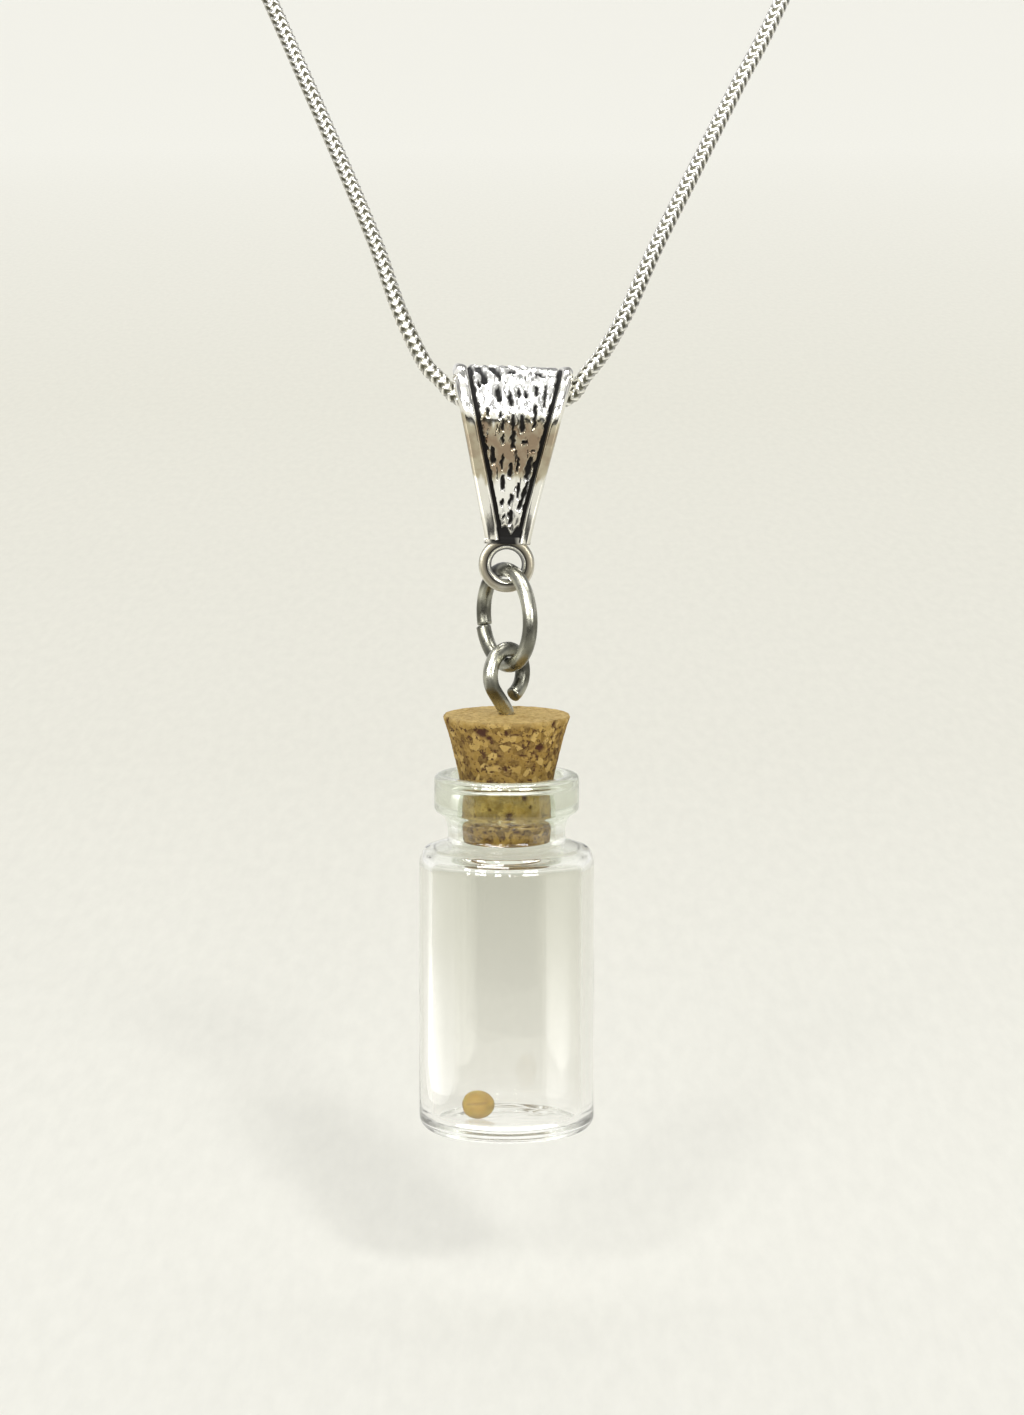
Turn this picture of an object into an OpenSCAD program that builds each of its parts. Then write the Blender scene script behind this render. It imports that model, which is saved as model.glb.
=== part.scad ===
// Bottle pendant on a snake chain: a small corked glass vial with one seed in it hangs from a
// screw eye, a jump ring and a wide folded bail. Millimetres. The origin is the middle of the
// clasp, where the necklace rests on the back of the neck. +Z is up, and the pendant hangs at
// the front, towards -Y.

/* [Chain] */
// Diameter of the snake chain
chain_d = 1.0; // [0.7:0.1:1.1]
// Gap between the chain at its seat and the inside of the bail's fold
chain_seat_clear = 0.35; // [0.3:0.05:0.6]

/* [Clasp] */
// Diameter of the barrel clasp at the nape
clasp_d = 2.4; // [2:0.1:4]
// Length of the barrel clasp
clasp_len = 9; // [7:0.5:14]
// Depth of the bore that takes each end of the chain
clasp_bore_depth = 2; // [1:0.5:3]
// Radial gap between the chain's end and its bore
clasp_fit = 0.06; // [0.04:0.01:0.15]

/* [Bail] */
// Width across the top of the bail
bail_top_w = 7.5; // [6.6:0.1:7.8]
// Width across the foot of the bail
bail_foot_w = 2.8; // [2.4:0.1:3.4]
// Height from the fold at the top to the foot, where both strips meet
bail_h = 10.9; // [9:0.1:14]
// Depth of the fold from front to back
bail_depth = 5.6; // [4.8:0.1:7]
// Depth of the foot from front to back
bail_foot_depth = 1.3; // [1.1:0.1:1.8]
// Thickness of the strip
bail_wall = 0.75; // [0.6:0.05:1]
// Height of the solid foot, where the two strips are joined
bail_foot_h = 1.6; // [1.2:0.1:2.4]
// Lean of the bail to the right, in degrees
bail_lean = 1.9; // [0:0.1:4]

/* [Bail relief] */
// Width of the smooth rim at the top
rim_top_w = 1.0; // [0.6:0.05:1.3]
// Width of the smooth rim at the foot
rim_foot_w = 0.65; // [0.5:0.05:0.8]
// Width of the groove along the inside of each rim
groove_w = 0.28; // [0.15:0.01:0.35]
// Depth of the groove and of the bark pattern
relief_depth = 0.2; // [0.1:0.05:0.3]
// Width of one slit of the bark pattern
slit_w = 0.2; // [0.1:0.02:0.3]
// Spacing of the slits across the panel
slit_pitch = 0.62; // [0.5:0.02:1]
// Rows of slits from the top to the foot
slit_rows = 6; // [4:1:8]

/* [Bail loop] */
// Drop of the loop's centre under the bail's foot
loop_reach = 1.5; // [1.4:0.05:2]
// Diameter of the hole in the loop under the bail
loop_hole_d = 1.9; // [1.8:0.05:2.4]
// Width of the loop's flat face
loop_band = 0.79; // [0.6:0.05:1]
// Thickness of the loop from front to back
loop_t = 0.7; // [0.5:0.05:0.8]
// Chamfer on the loop's edges
loop_chamfer = 0.2; // [0.1:0.02:0.28]

/* [Jump ring] */
// Outer diameter of the jump ring
ring_od = 6.9; // [6:0.1:9]
// Wire of the jump ring
ring_wire = 0.93; // [0.7:0.05:1]
// Turn of the ring from facing the front, in degrees
ring_turn = -60.6; // [-75:1:-45]
// Width of the cut where the ring closes
ring_cut = 0.06; // [0.03:0.01:0.2]
// Place of the cut around the ring, in degrees
ring_cut_at = 196; // [150:1:230]
// Play between the ring and the bail's loop
ring_play = 0.15; // [0.12:0.01:0.2]

/* [Screw eye] */
// Outer diameter of the eye
eye_od = 4.0; // [3.8:0.1:5]
// Wire of the screw eye
eye_wire = 0.95; // [0.8:0.05:1.1]
// Turn of the eye from facing the front, in degrees
eye_turn = 48.7; // [30:1:60]
// Play between the eye and the jump ring
eye_play = 0.03; // [0.02:0.01:0.1]
// Height of the straight shank that shows over the cork
shank_show = 0.35; // [0.2:0.05:1]
// Depth of the shank in the cork
shank_depth = 5; // [3:0.5:6]
// Radial gap between the shank and the cork
shank_fit = 0.02; // [0.01:0.01:0.05]

/* [Cork] */
// Diameter of the cork at its top
cork_top_d = 8.0; // [7:0.1:9]
// Diameter of the cork a little below its top
cork_waist_d = 7.25; // [6.6:0.05:8]
// Height of the cork over the lip of the bottle
cork_over = 3.8; // [2.5:0.1:5]
// Depth of the cork in the neck
cork_in = 4.6; // [3:0.1:5]
// Diameter of the cork's lower end
cork_foot_d = 5.4; // [5:0.1:5.8]
// Radial gap between the cork and the neck
cork_fit = 0.04; // [0.02:0.01:0.08]

/* [Bottle] */
// Outer diameter of the body
body_d = 11; // [10:0.1:14]
// Height of the bottle from its base to its lip
bottle_h = 22.6; // [18:0.1:32]
// Thickness of the body's wall
glass_wall = 0.8; // [0.6:0.05:1.2]
// Thickness of the bottle's base
base_t = 0.7; // [0.5:0.1:2]
// Rounding of the base's outer edge
base_round = 0.9; // [0.4:0.1:1.2]
// Largest diameter of the lip
lip_d = 9.1; // [8.6:0.1:10]
// Height of the lip
lip_h = 2.5; // [1.8:0.1:3]
// Outer diameter of the neck under the lip
neck_d = 7.35; // [7.2:0.05:8]
// Height of the neck from the lip's top to the shoulder
neck_h = 3.85; // [3.4:0.05:5]
// Bore of the neck
bore_d = 6.12; // [5.9:0.02:6.3]
// Rounding of the shoulder
shoulder_r = 0.9; // [0.6:0.1:1.4]
// Slope of the shoulder from level, in degrees
shoulder_slope = 20; // [10:1:30]

/* [Seed] */
// Width of the seed
seed_w = 2.1; // [1.5:0.1:2.6]
// Height of the seed as it lies
seed_h = 1.8; // [1.2:0.1:2.2]
// Gap between the seed and the glass under it
seed_gap = 0.02; // [0.01:0.01:0.05]
// Place of the seed to the left of the bottle's axis
seed_left = 1.8; // [0:0.1:2]
// Place of the seed in front of the bottle's axis
seed_front = 0.5; // [-1:0.1:1]

/* [Hidden] */
$fn = 48;
// Place of the pendant in front of and under the clasp, at the top of the bail's fold.
pendant_y = -101;
pendant_z = -143;
// Route of the chain: [x, y, z] from the clasp. It goes round the left side of the neck, down to
// the pendant, through the bail and up the right side.
ROUTE_LEFT = [
    [-5.5, 0, 0], [-10.0, -0.2, -0.2], [-23.0, -3.7, -3.4], [-38.0, -13.5, -10.0],
    [-49.5, -28.0, -19.5], [-55.0, -44.5, -31.2], [-52.2, -57.0, -43.0], [-44.7, -66.5, -58.0],
    [-35.0, -75.5, -78.0], [-25.2, -84.5, -98.6]];
ROUTE_RIGHT = [
    [27.6, -84.5, -98.6], [37.4, -75.5, -78.0], [46.2, -66.5, -58.0], [52.9, -57.0, -43.0],
    [55.2, -44.5, -31.2], [49.5, -28.0, -19.5], [38.0, -13.5, -10.0], [23.0, -3.7, -3.4],
    [10.0, -0.2, -0.2], [5.5, 0, 0]];
// The part of the route at the pendant: [x, y, z] from the top of the bail's fold.
ROUTE_FRONT = [
    [-15.1, 7.9, 22.9], [-12.5, 5.4, 17.3], [-10.1, 3.3, 12.0], [-8.1, 1.5, 7.4], [-6.6, 0.4, 3.3],
    [-5.1, 0, 0.2], [-4.1, 0, -0.9], [-3.0, 0, -2.0], [-1.0, 0, -2.5], [1.6, 0, -2.55],
    [3.9, 0, -1.95], [4.9, 0, -0.6], [6.0, 0.1, 0.8], [7.5, 0.5, 3.4], [9.3, 1.5, 7.3],
    [11.6, 3.2, 11.7], [14.4, 5.5, 17.0], [17.7, 8.2, 23.2]];
chain_sides = 8;
// Room between the chain's end and the floor of its bore in the clasp.
chain_end_gap = 0.3;

// The bail hangs on the chain at its seat, this far under the top of the route.
seat_drop = 1.6;
fold_r = bail_depth / 2;
seat_z = pendant_z - seat_drop;
bail_top_z = seat_z + chain_seat_clear + chain_d / 2 + bail_wall;
loop_mid_r = (loop_hole_d + loop_band) / 2;
loop_drop = bail_h + loop_reach;
bail_shift = loop_drop * sin(bail_lean);
strip_angle = asin(fold_r / norm([bail_foot_depth / 2, bail_h - fold_r]))
    - atan2(bail_foot_depth / 2, bail_h - fold_r);
side_slope = (bail_top_w - bail_foot_w) / 2 / bail_h;

// Heights of what hangs under the bail, each from what it hangs on.
loop_z = bail_top_z - loop_drop;
bar_z = loop_z - loop_mid_r;
ring_r = (ring_od - ring_wire) / 2;
ring_z = bar_z + loop_band / 2 + ring_play + ring_wire / 2 - ring_r;
ring_foot_z = ring_z - ring_r;
eye_r = (eye_od - eye_wire) / 2;
eye_z = ring_foot_z + (ring_wire + eye_wire) / 2 + eye_play - eye_r;
// The wire of the eye bends into its shank through a smaller arc that turns this far.
bend_turn = 70;
bend_r = eye_r * cos(bend_turn) / (1 - cos(bend_turn));
bend_z = eye_z - (eye_r + bend_r) * sin(bend_turn);
eye_end_angle = 33;
cork_top_z = bend_z - shank_show;
lip_z = cork_top_z - cork_over;
base_z = lip_z - bottle_h;
floor_z = base_z + base_t;

// Points of an arc around [x, z], with the radius r, from the angle a to the angle b.
function arc(x, z, r, a, b, steps = 6) =
    [for (i = [0:steps]) let (t = a + (b - a) * i / steps) [x + r * cos(t), z + r * sin(t)]];

// The whole route, from one bore of the clasp to the other.
bore_end = clasp_len / 2 - clasp_bore_depth + chain_end_gap;
route = concat(
    [[-bore_end, 0, 0]],
    ROUTE_LEFT,
    [for (p = ROUTE_FRONT) [p[0], p[1] + pendant_y, p[2] + pendant_z]],
    ROUTE_RIGHT,
    [[bore_end, 0, 0]]);

// A point between b and c on a smooth curve through a, b, c and d.
function between(a, b, c, d) = (9 * (b + c) - a - d) / 16;
last = len(route) - 1;
rings = [for (i = [0:last - 1]) each [
    route[i],
    between(route[max(i - 1, 0)], route[i], route[i + 1], route[min(i + 2, last)])],
    route[last]];
function unit(v) = v / norm(v);
function heading(i) = unit(rings[min(i + 1, len(rings) - 1)] - rings[max(i - 1, 0)]);
// One ring of points around the route, square to it.
function ring_points(i) =
    let (t = heading(i), u = unit(cross(t, [0, 0, 1])), v = cross(u, t))
    [for (k = [0:chain_sides - 1]) let (a = 360 * k / chain_sides)
        rings[i] + chain_d / 2 * (u * cos(a) + v * sin(a))];

module chain() {
    n = len(rings);
    m = chain_sides;
    points = [for (i = [0:n - 1]) each ring_points(i)];
    walls = [for (i = [0:n - 2]) for (k = [0:m - 1])
        [i * m + k, (i + 1) * m + k, (i + 1) * m + (k + 1) % m, i * m + (k + 1) % m]];
    caps = [[for (k = [0:m - 1]) k], [for (k = [m - 1:-1:0]) (n - 1) * m + k]];
    color("silver")
        polyhedron(points, concat(walls, caps));
}

// A plain barrel along X with a bore in each end.
module clasp() {
    bore_d_end = chain_d + 2 * clasp_fit;
    color("silver")
        difference() {
            rotate([0, 90, 0])
                cylinder(d = clasp_d, h = clasp_len, center = true);
            for (side = [-1, 1])
                translate([side * clasp_len / 2, 0, 0])
                    rotate([0, 90, 0])
                        cylinder(d = bore_d_end, h = 2 * clasp_bore_depth, center = true);
        }
}

// Height under the fold's top at which the outline, set in by the depth e, would close to a point.
function closing(e) = -fold_r - (fold_r - e) / sin(strip_angle);

// Side outline of the folded strip, set in by the depth e, down to the height foot.
module fold_outline(e, foot) {
    r = fold_r - e;
    tangent = [r * cos(strip_angle), -fold_r - r * sin(strip_angle)];
    foot_half = (foot - closing(e)) * tan(strip_angle);
    union() {
        translate([0, -fold_r])
            circle(r);
        polygon([tangent, [foot_half, foot], [-foot_half, foot], [-tangent[0], tangent[1]]]);
    }
}

module folded(e, foot, width) {
    rotate([90, 0, 90])
        translate([0, 0, -width / 2])
            linear_extrude(width)
                fold_outline(e, foot);
}

// Half the bail's width at a height under its top.
function half_w(z) = bail_top_w / 2 + z * side_slope;
function rim_w(z) = rim_top_w + (rim_top_w - rim_foot_w) * z / bail_h;
function panel_half(z) = half_w(z) - rim_w(z) - groove_w;

// A band across the bail's front and back between two half widths, from the height a to b.
module front_band(points) {
    rotate([90, 0, 0])
        translate([0, 0, -bail_depth])
            linear_extrude(2 * bail_depth)
                polygon(points);
}

// The two grooves along the rims, which run over the fold and down nearly to the foot.
module rim_grooves() {
    foot_margin = 0.35;
    top = bail_wall;
    foot = -bail_h + foot_margin;
    for (side = [-1, 1])
        front_band([
            [side * panel_half(top), top], [side * (panel_half(top) + groove_w), top],
            [side * (panel_half(foot) + groove_w), foot], [side * panel_half(foot), foot]]);
}

// Short upright slits in staggered rows, like the grain of bark. Each one's own shift, from -1
// to 1, moves it sideways by a share of the pitch and changes its drop and length.
module bark_slits() {
    foot_margin = 0.2;
    side_share = 0.22;
    length_share = 0.62;
    length_change = 0.16;
    row_h = (bail_h - foot_margin) / slit_rows;
    for (row = [0:slit_rows - 1]) {
        row_foot = -(row + 1) * row_h;
        across = max(1, floor(2 * panel_half(row_foot) / slit_pitch));
        for (i = [0:across - 1]) {
            shift = sin(137 * (row * 7 + i * 3));
            x = (i + 0.5 + side_share * shift - across / 2) * slit_pitch;
            length = row_h * (length_share + length_change * shift);
            translate([x - slit_w / 2, -bail_depth, row_foot + (row_h - length) / 2])
                cube([slit_w, 2 * bail_depth, length]);
        }
    }
}

// The loop under the foot: a flat ring with chamfered edges.
module bail_loop() {
    b = loop_band / 2;
    t = loop_t / 2;
    c = min(loop_chamfer, 0.8 * t);
    translate([0, 0, -loop_drop])
        rotate([90, 0, 0])
            rotate_extrude()
                translate([loop_mid_r, 0])
                    polygon([
                        [-b, -t + c], [-b + c, -t], [b - c, -t], [b, -t + c],
                        [b, t - c], [b - c, t], [-b + c, t], [-b, t - c]]);
}

// The strip is cut to its width, hollowed and carved. A small block joins its foot to the loop.
module bail() {
    top = bail_wall;
    foot = -bail_h;
    block_inset = 0.1;
    block_bite = 0.2;
    block_h = loop_reach - loop_mid_r + 0.3 * loop_band;
    color("silver")
        translate([bail_shift, pendant_y, bail_top_z])
            rotate([0, bail_lean, 0]) {
                difference() {
                    intersection() {
                        folded(0, foot, bail_top_w + 2);
                        front_band([
                            [-half_w(top), top], [half_w(top), top],
                            [half_w(foot), foot], [-half_w(foot), foot]]);
                    }
                    folded(bail_wall, foot + bail_foot_h, bail_top_w + 4);
                    difference() {
                        union() {
                            rim_grooves();
                            bark_slits();
                        }
                        folded(relief_depth, foot - bail_wall, bail_top_w + 6);
                    }
                }
                translate([-bail_foot_w / 2, -bail_foot_depth / 2 + block_inset, foot - block_h])
                    cube([bail_foot_w, bail_foot_depth - 2 * block_inset, block_h + block_bite]);
                bail_loop();
            }
}

// Part of a ring of round wire around the Y axis, from an angle through a sweep. The angle is
// counted from +X towards +Z.
module wire_arc(r, wire, from, sweep) {
    rotate([90, 0, 0])
        rotate([0, 0, from])
            rotate_extrude(angle = sweep)
                translate([r, 0])
                    circle(d = wire);
}

module jump_ring() {
    cut = 2 * asin(ring_cut / 2 / ring_r);
    color("gainsboro")
        translate([0, pendant_y, ring_z])
            rotate([0, 0, ring_turn])
                wire_arc(ring_r, ring_wire, ring_cut_at + cut / 2, 360 - cut);
}

// The eye's wire is two arcs and a straight shank. A ball a hair wider than the wire joins each
// pair, which stop just short of each other inside it.
module screw_eye() {
    short = 0.6;
    ball_d = 1.04 * eye_wire;
    tip_gap = 0.01;
    shank_foot = cork_top_z - shank_depth;
    color("gainsboro")
        translate([0, pendant_y, 0])
            rotate([0, 0, eye_turn]) {
                translate([0, 0, eye_z])
                    wire_arc(eye_r, eye_wire, -90 + eye_end_angle,
                        360 - eye_end_angle - (90 - bend_turn) - short);
                translate([-bend_r, 0, bend_z])
                    wire_arc(bend_r, eye_wire, short, bend_turn - 2 * short);
                translate([-eye_r * cos(bend_turn), 0, eye_z - eye_r * sin(bend_turn)])
                    sphere(d = ball_d);
                translate([0, 0, bend_z])
                    sphere(d = ball_d);
                translate([0, 0, shank_foot])
                    cylinder(d = eye_wire, h = bend_z - shank_foot - tip_gap);
            }
}

module cork() {
    top_edge = 0.18;
    waist_drop = 0.35 * cork_over;
    lip_r = bore_d / 2 - cork_fit;
    neck_step = 0.25 * cork_in;
    foot_r = cork_foot_d / 2;
    color("burlywood")
        translate([0, pendant_y, cork_top_z])
            difference() {
                rotate_extrude()
                    polygon([
                        [0, 0], [cork_top_d / 2 - top_edge, 0], [cork_top_d / 2, -top_edge],
                        [cork_waist_d / 2, -waist_drop], [lip_r, -cork_over],
                        [(lip_r + 2 * foot_r) / 3, -cork_over - neck_step],
                        [foot_r, -cork_over - cork_in], [0, -cork_over - cork_in]]);
                translate([0, 0, -shank_depth - shank_fit])
                    cylinder(d = eye_wire + 2 * shank_fit, h = shank_depth + 1);
            }
}

// Outline of the glass from its lip, given as its radius and height over the base. The lip is a
// rolled bead: round above, upright at the side and turned in below to the neck.
neck_fillet = 0.4;
function glass_outside() =
    let (
        r = body_d / 2,
        n = neck_d / 2,
        l = lip_d / 2,
        top_round = 0.35,
        under_round = 0.4,
        fillet = neck_fillet,
        turn = 90 - shoulder_slope,
        neck_z = bottle_h - neck_h,
        slope_from = [n + fillet * (1 - cos(turn)), neck_z - fillet * sin(turn)],
        slope_to_r = r - shoulder_r * (1 - cos(turn)),
        slope_to_z = slope_from[1] - (slope_to_r - slope_from[0]) * tan(shoulder_slope),
        shoulder_z = slope_to_z - shoulder_r * sin(turn))
    concat(
        arc(l - top_round, bottle_h - top_round, top_round, 90, 0),
        arc(l - under_round, bottle_h - lip_h + under_round, under_round, 0, -60),
        arc(n + fillet, neck_z, fillet, 180, 180 + turn),
        arc(r - shoulder_r, shoulder_z, shoulder_r, turn, 0),
        arc(r - base_round, base_round, base_round, 0, -90));

function glass_inside() =
    let (
        r = body_d / 2 - glass_wall,
        b = bore_d / 2,
        inner_round = glass_wall,
        bend = 1.5 * neck_fillet,
        mouth_round = 0.1,
        turn = 90 - shoulder_slope,
        bend_top = bottle_h - neck_h - glass_wall + 0.3,
        slope_from = [b + bend * (1 - cos(turn)), bend_top - bend * sin(turn)],
        slope_to_r = r - inner_round * (1 - cos(turn)),
        slope_to_z = slope_from[1] - (slope_to_r - slope_from[0]) * tan(shoulder_slope),
        shoulder_z = slope_to_z - inner_round * sin(turn))
    concat(
        [[0, base_t]],
        arc(r - inner_round, base_t + inner_round, inner_round, -90, 0),
        arc(r - inner_round, shoulder_z, inner_round, 0, turn),
        arc(b + bend, bend_top, bend, 180 + turn, 180),
        [[b, bottle_h - mouth_round], [b + mouth_round, bottle_h]]);

module bottle() {
    color("lightcyan", 0.4)
        translate([0, pendant_y, base_z])
            rotate_extrude()
                polygon(concat(glass_inside(), glass_outside(), [[0, 0]]));
}

// The seed lies on the floor of the bottle, a little flatter than it is wide.
module seed() {
    steps = 10;
    color("goldenrod")
        translate([-seed_left, pendant_y - seed_front, floor_z + seed_gap + seed_h / 2])
            rotate_extrude()
                polygon([for (i = [0:steps]) let (t = -90 + 180 * i / steps)
                    [i % steps == 0 ? 0 : seed_w / 2 * cos(t), seed_h / 2 * sin(t)]]);
}

chain();
clasp();
bail();
jump_ring();
screw_eye();
cork();
bottle();
seed();
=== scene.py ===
"""Looks of the bottle pendant necklace, in metres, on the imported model's frame."""

from math import atan2, cos, degrees, hypot, pi, radians, sin, tan, tau

import bmesh
import bpy
from mathutils import Matrix, Vector
from mathutils.noise import noise


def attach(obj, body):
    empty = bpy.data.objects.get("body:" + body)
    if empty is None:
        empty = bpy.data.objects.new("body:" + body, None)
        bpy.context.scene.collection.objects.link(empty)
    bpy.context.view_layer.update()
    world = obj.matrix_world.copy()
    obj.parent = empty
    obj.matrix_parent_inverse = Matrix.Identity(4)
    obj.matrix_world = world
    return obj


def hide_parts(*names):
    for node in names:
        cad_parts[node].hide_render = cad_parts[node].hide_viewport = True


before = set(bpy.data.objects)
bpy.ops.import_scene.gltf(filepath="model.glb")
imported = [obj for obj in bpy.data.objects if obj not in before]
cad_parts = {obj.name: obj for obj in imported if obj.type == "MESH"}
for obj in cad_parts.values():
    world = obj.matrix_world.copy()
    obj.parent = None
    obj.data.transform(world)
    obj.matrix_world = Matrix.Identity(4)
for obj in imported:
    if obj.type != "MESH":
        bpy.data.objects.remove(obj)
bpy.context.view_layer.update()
scene = bpy.context.scene

# Sizes and places in millimetres and turns in degrees, as the part's source has them.
PENDANT = Vector((0, -101, -143))
CHAIN_D = 1.0
CLASP_D, CLASP_LEN, CLASP_BORE, CLASP_BORE_DEPTH = 2.4, 9.0, 1.12, 2.0
BAIL_TOP_W, BAIL_FOOT_W, BAIL_H = 7.5, 2.8, 10.9
FOLD_R, FOLD_LEAN, FOOT_HALF, BAIL_WALL = 2.8, 15.56, 0.65, 0.75
BAIL_LEAN, BAIL_SHIFT, LOOP_DROP = 1.9, 0.411, 12.4
LOOP_HOLE_R, LOOP_BAND, LOOP_T = 0.95, 0.79, 0.7
RING_R, RING_WIRE, RING_TURN, RING_CUT = 2.985, 0.93, -60.6, 1.15
RING_Z = -158.72
EYE_R, EYE_WIRE, EYE_TURN, EYE_Z = 1.525, 0.95, 48.7, -162.26
EYE_END = 33
CORK_TOP_Z, CORK_OVER, CORK_IN = -164.788, 3.8, 4.6
BASE_Z, BOTTLE_H, BOTTLE_R, BORE_R = -191.188, 22.6, 5.5, 3.06
SHANK_DEPTH = 5.0
FLOOR_Z = -203.5

# The same in metres, for the camera and the lights.
PENDANT_Y = PENDANT.y / 1000
FLOOR = FLOOR_Z * 0.001

# Colours of slits and grooves, and of the cork's and the seed's marks.
ANTIQUE_BLACK = (0.008, 0.007, 0.006)
# Painted shade on the steel wire.
STEEL_SHADE_BLACK = (0.014, 0.013, 0.011)
# Painted shade in the grooves between the chain's links.
LINK_SHADE_GREY = (0.10, 0.095, 0.065)
# Brown in the cork's pits: their own colour, deepened by painted shade in the hollows.
PIT_SHADE_BROWN = (0.075, 0.025, 0.010)
SPECK_BROWN = (0.085, 0.035, 0.010)
FIBRE_TAN = (0.46, 0.30, 0.09)
CREASE_BROWN = (0.24, 0.135, 0.025)


def from_front(turn, rise=0):
    """A direction from its turn from the front and its rise, in degrees."""
    turn, rise = radians(turn), radians(rise)
    return Vector((sin(turn) * cos(rise), -cos(turn) * cos(rise), sin(rise)))


# Camera

CAMERA_TARGET = Vector((0.00034, PENDANT_Y, -0.1644))
CAMERA_AWAY, CAMERA_PITCH, CAMERA_LENS = 0.3375, 8, 137.4


def make_camera():
    data = bpy.data.cameras.new("camera")
    data.lens = CAMERA_LENS
    data.sensor_width = 36
    data.clip_start = 0.01
    data.clip_end = 100
    camera = bpy.data.objects.new("camera", data)
    camera.location = CAMERA_TARGET + CAMERA_AWAY * from_front(0, CAMERA_PITCH)
    camera.rotation_euler = (radians(90 - CAMERA_PITCH), 0, 0)
    scene.collection.objects.link(camera)
    scene.camera = camera


make_camera()


# Shader helpers
def new_material(name):
    material = bpy.data.materials.new(name)
    material.use_nodes = True
    return material, material.node_tree, material.node_tree.nodes["Principled BSDF"]


def add_node(tree, kind, inputs=None, **settings):
    """A shader node with its settings, whose inputs are values or the sockets that feed them."""
    made = tree.nodes.new("ShaderNode" + kind)
    for key, value in settings.items():
        setattr(made, key, value)
    feed(tree, made, inputs or {})
    return made


def feed(tree, made, inputs):
    """Gives each named input of a node its value, or a link from another node's socket."""
    for key, value in inputs.items():
        if isinstance(value, bpy.types.NodeSocket):
            tree.links.new(value, made.inputs[key])
        else:
            made.inputs[key].default_value = value


def object_point(tree, scale=(1, 1, 1)):
    place = add_node(tree, "TexCoord").outputs["Object"]
    return add_node(tree, "Mapping", {"Vector": place, "Scale": scale}).outputs["Vector"]


def noise_value(tree, scale, detail=4.0, roughness=0.5, stretch=(1, 1, 1)):
    """A noise value whose scale counts features in a metre."""
    return add_node(tree, "TexNoise", {
        "Vector": object_point(tree, stretch), "Scale": scale, "Detail": detail,
        "Roughness": roughness}).outputs["Fac"]


def ramp(tree, value, *stops):
    """Colours or greys at places along a value."""
    made = add_node(tree, "ValToRGB", {"Fac": value})
    elements = made.color_ramp.elements
    while len(elements) < len(stops):
        elements.new(0.5)
    for element, (place, colour) in zip(elements, stops):
        element.position = place
        grey = isinstance(colour, (int, float))
        element.color = (colour, colour, colour, 1) if grey else (*colour, 1)
    return made.outputs["Color"]


def mix_colour(tree, factor, a, b, blend="MIX"):
    a, b = ((*value, 1) if isinstance(value, tuple) else value for value in (a, b))
    return add_node(tree, "Mix", {0: factor, 6: a, 7: b}, data_type="RGBA",
                    blend_type=blend).outputs[2]


def maths(tree, operation, a, b):
    return add_node(tree, "Math", {0: a, 1: b}, operation=operation).outputs[0]


def share_between(tree, value, low, high):
    """Where a value lies between two others, from 0 to 1."""
    return add_node(tree, "MapRange", {
        "Value": value, "From Min": low, "From Max": high}).outputs[0]


def parts_of(tree, vector):
    """The X, Y and Z sockets of a vector."""
    return add_node(tree, "SeparateXYZ", {"Vector": vector}).outputs


def painted(tree, name):
    """The value that a piece's own mesh carries under a name."""
    return add_node(tree, "Attribute", attribute_name=name).outputs["Fac"]


def bump(tree, bsdf, height, strength, distance, under=None):
    """Bumps the surface by a height, over the bump that lies under it."""
    made = add_node(tree, "Bump", {"Height": height, "Strength": strength, "Distance": distance})
    if under is not None:
        tree.links.new(under, made.inputs["Normal"])
    tree.links.new(made.outputs["Normal"], bsdf.inputs["Normal"])
    return made.outputs["Normal"]


def mirrored_light(tree, most=9):
    """One for light that was mirrored on its way, at most so many times, else nothing."""
    times = add_node(tree, "LightPath").outputs["Glossy Depth"]
    return maths(tree, "MULTIPLY", maths(tree, "GREATER_THAN", times, 0.5),
                 maths(tree, "LESS_THAN", times, most + 0.5))


# Materials
def chain_silver():
    """Bright silver, with painted shade in grey in the grooves between the links."""
    material, tree, bsdf = new_material("chain_silver")
    groove = painted(tree, "groove")
    tone = ramp(tree, noise_value(tree, 160, 3),
                (0.3, (0.82, 0.80, 0.73)), (0.7, (0.95, 0.94, 0.90)))
    feed(tree, bsdf, {
        "Base Color": mix_colour(tree, groove, tone, LINK_SHADE_GREY), "Metallic": 1.0,
        "Roughness": ramp(tree, groove, (0.0, 0.17), (1.0, 0.6))})
    bump(tree, bsdf, noise_value(tree, 9000, 2), 0.15, 0.00002)
    return material


def antiqued_silver():
    """Polished silver under a mottled brown patina, with black in its slits and grooves."""
    material, tree, bsdf = new_material("antiqued_silver")
    dark = painted(tree, "dark")
    patina = painted(tree, "patina")
    mottled = maths(tree, "MULTIPLY", patina,
                    ramp(tree, noise_value(tree, 900, 5), (0.38, 0.7), (0.55, 1.0)))
    tone = ramp(tree, mottled, (0.0, (0.93, 0.92, 0.88)), (0.5, (0.54, 0.498, 0.375)),
                (1.0, (0.32, 0.242, 0.168)))
    feed(tree, bsdf, {
        "Base Color": mix_colour(tree, dark, tone, ANTIQUE_BLACK),
        "Metallic": ramp(tree, dark, (0.2, 1.0), (0.8, 0.1)), "Specular IOR Level": 0.12,
        "Roughness": ramp(tree, dark, (0.0, 0.14), (0.8, 0.62))})
    bump(tree, bsdf, noise_value(tree, 3500, 3, stretch=(1, 1, 0.5)), 0.25, 0.00003)
    return material


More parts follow.
